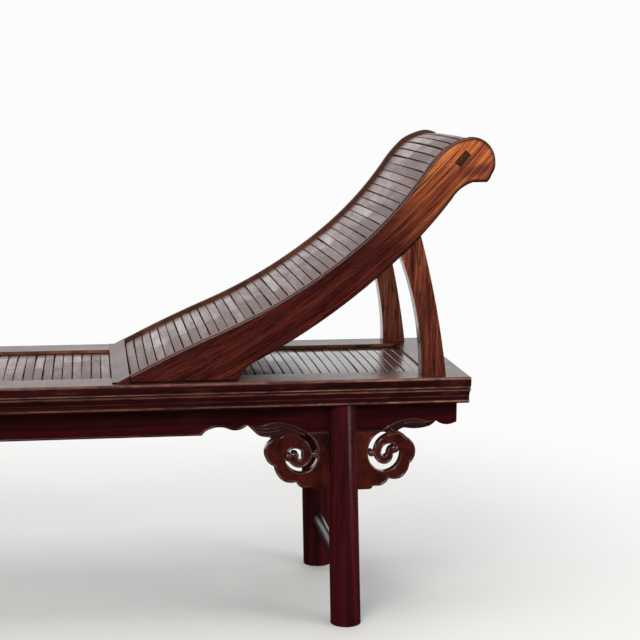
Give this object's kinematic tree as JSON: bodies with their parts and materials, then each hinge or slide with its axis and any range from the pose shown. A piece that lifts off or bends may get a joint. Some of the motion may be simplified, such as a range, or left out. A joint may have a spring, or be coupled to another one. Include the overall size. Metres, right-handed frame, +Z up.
{
  "type": "lounge chair",
  "caption": "Long low lounge chair in carved hardwood with a bamboo slat seat and a fixed slatted headrest that sweeps up to a rolled end, on round legs with pierced spandrels.",
  "frame": {"origin": "on the floor under the middle of the chair's overall length and depth", "axes": "+X towards the headrest end, +Y towards the back, +Z up"},
  "size_m": [1.895, 0.44, 0.924],
  "materials": {
    "dark_rosewood": "dark oxblood lacquer, worn through to orange brown on the arrises",
    "red_rosewood": "red brown polished hardwood with an open straight grain",
    "amber_rosewood": "orange brown polished hardwood, darker and redder towards the seat",
    "bamboo_slat": "worn dark lacquer on split bamboo, glossy",
    "plain_hardwood": "plain unpolished hardwood",
    "peg_wood": "dark end grain"
  },
  "bodies": {
    "root": {"back_apron": "dark_rosewood", "back_batten": "plain_hardwood", "back_brace": "red_rosewood", "back_rail": "dark_rosewood", "back_side_board": "amber_rosewood", "board_dowels": "peg_wood", "corner_pegs": "peg_wood", "crest_headrest_rail": "plain_hardwood", "foot_back_inner_spandrel": "red_rosewood", "foot_back_leg": "dark_rosewood", "foot_back_outer_spandrel": "red_rosewood", "foot_end_apron": "dark_rosewood", "foot_end_rail": "dark_rosewood", "foot_front_inner_spandrel": "red_rosewood", "foot_front_leg": "dark_rosewood", "foot_front_outer_spandrel": "red_rosewood", "foot_stretcher": "dark_rosewood", "front_apron": "dark_rosewood", "front_batten": "plain_hardwood", "front_brace": "red_rosewood", "front_rail": "dark_rosewood", "front_side_board": "amber_rosewood", "head_back_inner_spandrel": "red_rosewood", "head_back_leg": "dark_rosewood", "head_back_outer_spandrel": "red_rosewood", "head_end_apron": "dark_rosewood", "head_end_rail": "dark_rosewood", "head_front_inner_spandrel": "red_rosewood", "head_front_leg": "dark_rosewood", "head_front_outer_spandrel": "red_rosewood", "head_stretcher": "dark_rosewood", "headrest_slats": "bamboo_slat", "headrest_spine": "plain_hardwood", "leg_dowels": "peg_wood", "lower_headrest_rail": "plain_hardwood", "middle_batten": "plain_hardwood", "middle_headrest_rail": "plain_hardwood", "seat_bearer_1": "plain_hardwood", "seat_bearer_2": "plain_hardwood", "seat_bearer_3": "plain_hardwood", "seat_bearer_4": "plain_hardwood", "seat_bearer_5": "plain_hardwood", "seat_bearer_6": "plain_hardwood", "seat_slats": "bamboo_slat", "toe_board": "amber_rosewood", "upper_headrest_rail": "plain_hardwood"}
  },
  "joints": []
}
